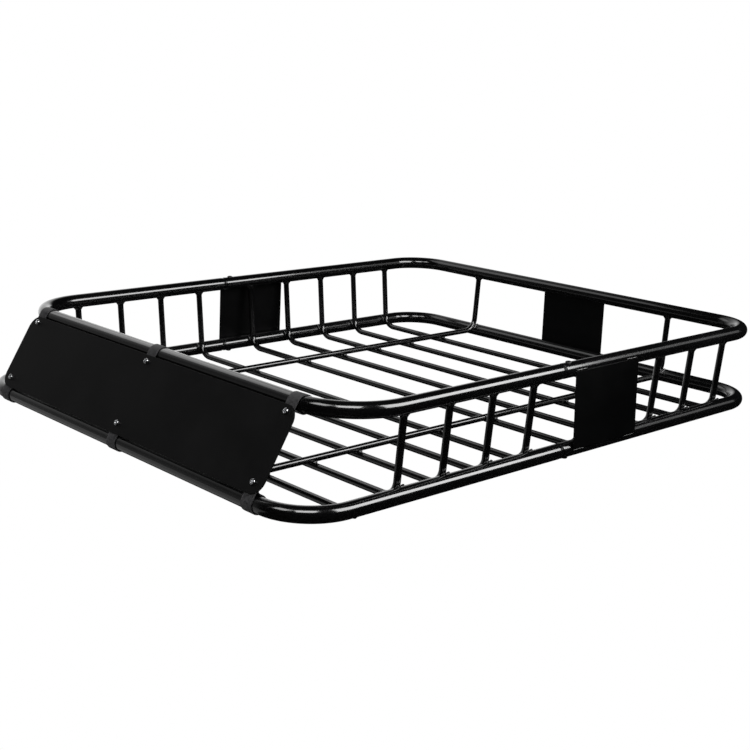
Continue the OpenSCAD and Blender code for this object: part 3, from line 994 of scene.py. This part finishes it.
def fairing_screws():
    head_r, head_h = 0.005, 0.0034
    bm = bmesh.new()
    dome = []
    for k in range(15):
        r = head_r * 0.86 * k / 14
        dome.append((r + TINY_R, head_h - 0.00055 * (r / head_r) ** 2))
    side = [
        (head_r * 0.95, head_h - 0.0009),
        (head_r * 0.995, head_h - 0.0016),
        (head_r, 0.0012),
        (head_r, 0),
    ]
    tip = NUT_TOP - NUT_H - SCREW_TIP - FACE_Z
    shank = [(SCREW_R, 0)] + thread(-FAIRING_T, tip + 0.0005, SCREW_R, 0.0008) + [(0.0019, tip)]
    for n, (x, y) in enumerate(screw_places()):
        spin = Matrix.Rotation(math.radians(17 + 23 * n), 4, "Z")
        place = SLOPE_FRAME @ Matrix.Translation((x, y, FACE_Z + FIT)) @ spin
        turned(bm, dome + side + shank, TURNED_SIDES, place, cross_recess)
    finish_piece(
        "fairing_screw_set", bm, ZINC, ["fairing_screws"], sharp=TURNED_SHARP
    )


def hex_nut(bm, matrix, flats, height, bore):
    """Hexagon nut with both faces chamfered and its bore open."""
    levels = [0, 0.0002, 0.0004, 0.0007, 0.0011]
    heights = levels + [height - z for z in reversed(levels)]
    rings = []
    for z in heights:
        ring = []
        for k in range(TURNED_SIDES):
            a = 2 * math.pi * k / TURNED_SIDES
            wedge = (a + math.pi / 6) % (math.pi / 3) - math.pi / 6
            corner = flats / 2 / math.cos(wedge)
            cone = flats / 2 * 0.97 + min(z, height - z) * 1.75
            r = min(corner, cone)
            ring.append(matrix @ Vector((r * math.cos(a), r * math.sin(a), z)))
        rings.append(ring)
    for r, z in ((bore + 0.0004, height), (bore, height - 0.0004), (bore, 0.0004), (bore + 0.0004, 0)):
        rings.append([matrix @ Vector((r * a, r * b, z)) for a, b in circle(TURNED_SIDES)])
    skin(bm, rings, loop=True)


def fairing_nuts():
    bm = bmesh.new()
    for x, y in screw_places():
        spin = Matrix.Rotation(math.pi / 6, 4, "Z")
        place = SLOPE_FRAME @ Matrix.Translation((x, y, NUT_TOP - NUT_H)) @ spin
        hex_nut(bm, place, NUT_FLATS, NUT_H, SCREW_R + FIT)
    finish_piece("fairing_nut_set", bm, ZINC, ["fairing_nuts"])


def joint_places():
    """Frames of the slip joints' bolts, with +Z out of the tube."""
    places = []
    for side in (-1, 1):
        places.append(Matrix.Translation((side * UPPER_X, JOINT_BOLT_Y, UPPER_Z)))
        turn = Matrix.Rotation(math.pi, 4, "X")
        places.append(Matrix.Translation((side * LOWER_X, JOINT_BOLT_Y, LOWER_Z)) @ turn)
    return places


BOLT_R = 0.003
BOLT_HEAD_R, BOLT_HEAD_H = 0.0055, 0.0026
BOLT_SEAT = TUBE_R - 0.0009
BOLT_BORE = SPIGOT_R - TUBE_WALL
BOLT_NUT_FLATS, BOLT_NUT_H = 0.010, 0.005
BOLT_NUT_TOP = math.sqrt(BOLT_BORE ** 2 - (BOLT_NUT_FLATS / math.cos(math.pi / 6) / 2) ** 2) - FIT


def hex_recess(x, y, r, z):
    """Depth of a hexagon socket, for points on the top of the head only."""
    a = math.atan2(y, x)
    wedge = (a + math.pi / 6) % (math.pi / 3) - math.pi / 6
    inside = 1 - smooth_step(0.93, 1.07, r * math.cos(wedge) / 0.002)
    return z - 0.0016 * inside if z > TUBE_R + 0.0012 else z


def rail_joint_bolts():
    bm = bmesh.new()
    top = TUBE_R + BOLT_HEAD_H
    dome = [(BOLT_HEAD_R * 0.8 * k / 13 + TINY_R, top - 0.0007 * (k / 13) ** 2) for k in range(14)]
    rim = [(BOLT_HEAD_R * 0.93, top - 0.0013), (BOLT_HEAD_R, top - 0.0020), (BOLT_HEAD_R, BOLT_SEAT)]
    tip = BOLT_NUT_TOP - 0.006
    shank = [(BOLT_R, BOLT_SEAT)] + thread(BOLT_BORE, tip, BOLT_R, 0.001) + [(0.0024, tip - 0.0004)]
    for place in joint_places():
        turned(bm, dome + rim + shank, TURNED_SIDES, place, hex_recess)
    finish_piece(
        "rail_joint_bolt_set", bm, BLACK_BOLT, ["rail_joint_bolts"], sharp=TURNED_SHARP
    )


def rail_joint_nuts():
    bm = bmesh.new()
    for place in joint_places():
        seat = place @ Matrix.Translation((0, 0, BOLT_NUT_TOP - BOLT_NUT_H))
        hex_nut(bm, seat, BOLT_NUT_FLATS, BOLT_NUT_H, BOLT_R + FIT)
    finish_piece("rail_joint_nut_set", bm, STEEL, ["rail_joint_nuts"])


fairing_screws()
fairing_nuts()
rail_joint_bolts()
rail_joint_nuts()


# ---- Floor, light and camera ----

def disc_mesh(name, radii, heights):
    """Smooth surface of revolution round +Z whose centre is closed."""
    bm = bmesh.new()
    rings = [[Vector((r * a, r * b, z)) for a, b in circle(96)] for r, z in zip(radii, heights)]
    skin(bm, rings, caps=(False, True))
    bmesh.ops.recalc_face_normals(bm, faces=bm.faces)
    mesh = bpy.data.meshes.new(name)
    bm.to_mesh(mesh)
    bm.free()
    for polygon in mesh.polygons:
        polygon.use_smooth = True
    return mesh


def stage_piece(name, mesh, material_name):
    """A glowing white surface of the studio, which isn't mirrored in the tubes and stops no light."""
    material, _, shader = new_material(material_name)
    shader.inputs["Base Color"].default_value = (0, 0, 0, 1)
    shader.inputs["Emission Color"].default_value = (1, 1, 1, 1)
    shader.inputs["Emission Strength"].default_value = 1.0
    shader.inputs["Roughness"].default_value = 0.9
    shader.inputs["Specular IOR Level"].default_value = 0.0
    mesh.materials.append(material)
    piece = bpy.data.objects.new(name, mesh)
    piece.visible_glossy = False
    piece.visible_shadow = False
    bpy.context.scene.collection.objects.link(piece)
    return piece


def floor():
    """Plain white studio floor, which glows evenly, so nothing casts a shadow on it."""
    mesh = disc_mesh("studio_floor", (39, 6, 2, 0.5), (0, 0, 0, 0))
    if mesh.polygons[0].normal.z < 0:
        mesh.flip_normals()
    stage_piece("studio_floor", mesh, "studio_paper")


DOME_R = 40


def backdrop():
    """White dome behind everything, so that the floor has no visible edge."""
    angles = [math.radians(a) for a in range(-4, 91, 6)]
    radii = [DOME_R * math.cos(a) for a in angles]
    mesh = disc_mesh("studio_dome", radii, [DOME_R * math.sin(a) for a in angles])
    dome = stage_piece("studio_dome", mesh, "studio_white")
    dome.visible_diffuse = False


def area_light(name, place, target, width, height, radiance, mirrored=True):
    """Softbox of a given radiance; one that isn't mirrored only lights matt surfaces."""
    light = bpy.data.lights.new(name, "AREA")
    light.shape = "RECTANGLE"
    light.size, light.size_y = width, height
    light.energy = radiance * math.pi * width * height
    lamp = bpy.data.objects.new(name, light)
    lamp.location = place
    lamp.rotation_euler = (Vector(target) - Vector(place)).to_track_quat("-Z", "Y").to_euler()
    lamp.visible_camera = False
    lamp.visible_glossy = mirrored
    bpy.context.scene.collection.objects.link(lamp)


def world():
    """Dark studio with a pale wall to the object's left, brightest low over the horizon."""
    sky = bpy.data.worlds.new("studio")
    sky.use_nodes = True
    bpy.context.scene.world = sky
    tree = sky.node_tree
    back = tree.nodes["Background"]
    coords = tree.nodes.new("ShaderNodeTexCoord")
    split = tree.nodes.new("ShaderNodeSeparateXYZ")
    tree.links.new(coords.outputs["Generated"], split.inputs["Vector"])
    factors = [
        ramp(tree, split.outputs["X"], -0.74, -0.56, 1, 0),
        ramp(tree, split.outputs["Y"], -0.5, 0.1, 0.1, 1),
        ramp(tree, split.outputs["Z"], -0.27, -0.16, 0, 1),
        ramp(tree, split.outputs["Z"], 0.05, 0.60, 1, 0.35),
    ]
    product = factors[0]
    for factor in factors[1:]:
        node = tree.nodes.new("ShaderNodeMath")
        node.operation = "MULTIPLY"
        tree.links.new(product, node.inputs[0])
        tree.links.new(factor, node.inputs[1])
        product = node.outputs["Value"]
    tone = blend_colour(tree, product, (0.005, 0.005, 0.005), (0.95, 0.95, 0.95))
    tree.links.new(tone, back.inputs["Color"])
    back.inputs["Strength"].default_value = 1.0


def camera():
    """The eye, from its place and three angles: to the left of +Y, down, and leaning to one side."""
    place = Vector((1.8094, -1.6604, 0.6706))
    azimuth, elevation, roll = (math.radians(a) for a in (47.43, 14.28, 1.81))
    right = Vector((math.cos(azimuth), math.sin(azimuth), 0))
    back = Vector((
        math.sin(azimuth) * math.cos(elevation),
        -math.cos(azimuth) * math.cos(elevation),
        math.sin(elevation),
    ))
    up = back.cross(right)
    side = right * math.cos(roll) + up * math.sin(roll)
    top = up * math.cos(roll) - right * math.sin(roll)
    data = bpy.data.cameras.new("camera")
    data.lens = 61.78
    data.sensor_width = 36
    data.clip_start, data.clip_end = 0.05, 100
    eye = bpy.data.objects.new("camera", data)
    turn = Matrix((side, top, back)).transposed()
    eye.matrix_world = Matrix.Translation(place) @ turn.to_4x4()
    bpy.context.scene.collection.objects.link(eye)
    bpy.context.scene.camera = eye


floor()
backdrop()
world()
area_light("overhead", (-0.5, -0.3, 3.0), (0, 0, 0), 3.0, 3.0, 1.8, mirrored=False)
area_light("right_softbox", (1.80, 1.00, 1.38), (0.48, 1.00, 0.15), 2.3, 1.15, 7.0)
area_light("right_fill", (1.80, 2.80, 1.38), (0.48, 2.80, 0.15), 1.3, 1.15, 0.5)
area_light("camera_softbox", (1.30, -1.40, 1.90), (0.40, -0.55, 0.15), 1.1, 0.9, 7.0)
area_light("front_softbox", (0.15, -1.90, 1.90), (0.38, -0.55, 0.15), 0.9, 0.8, 4.0)
area_light("left_softbox", (-1.50, -0.25, 1.50), (0.0, -0.50, 0.16), 1.2, 1.2, 0.7)
area_light("floor_glow", (-1.0, -1.12, -0.35), (-1.0, -1.02, 0.65), 2.0, 1.15, 0.22)
camera()
bpy.context.scene.view_settings.view_transform = "Standard"
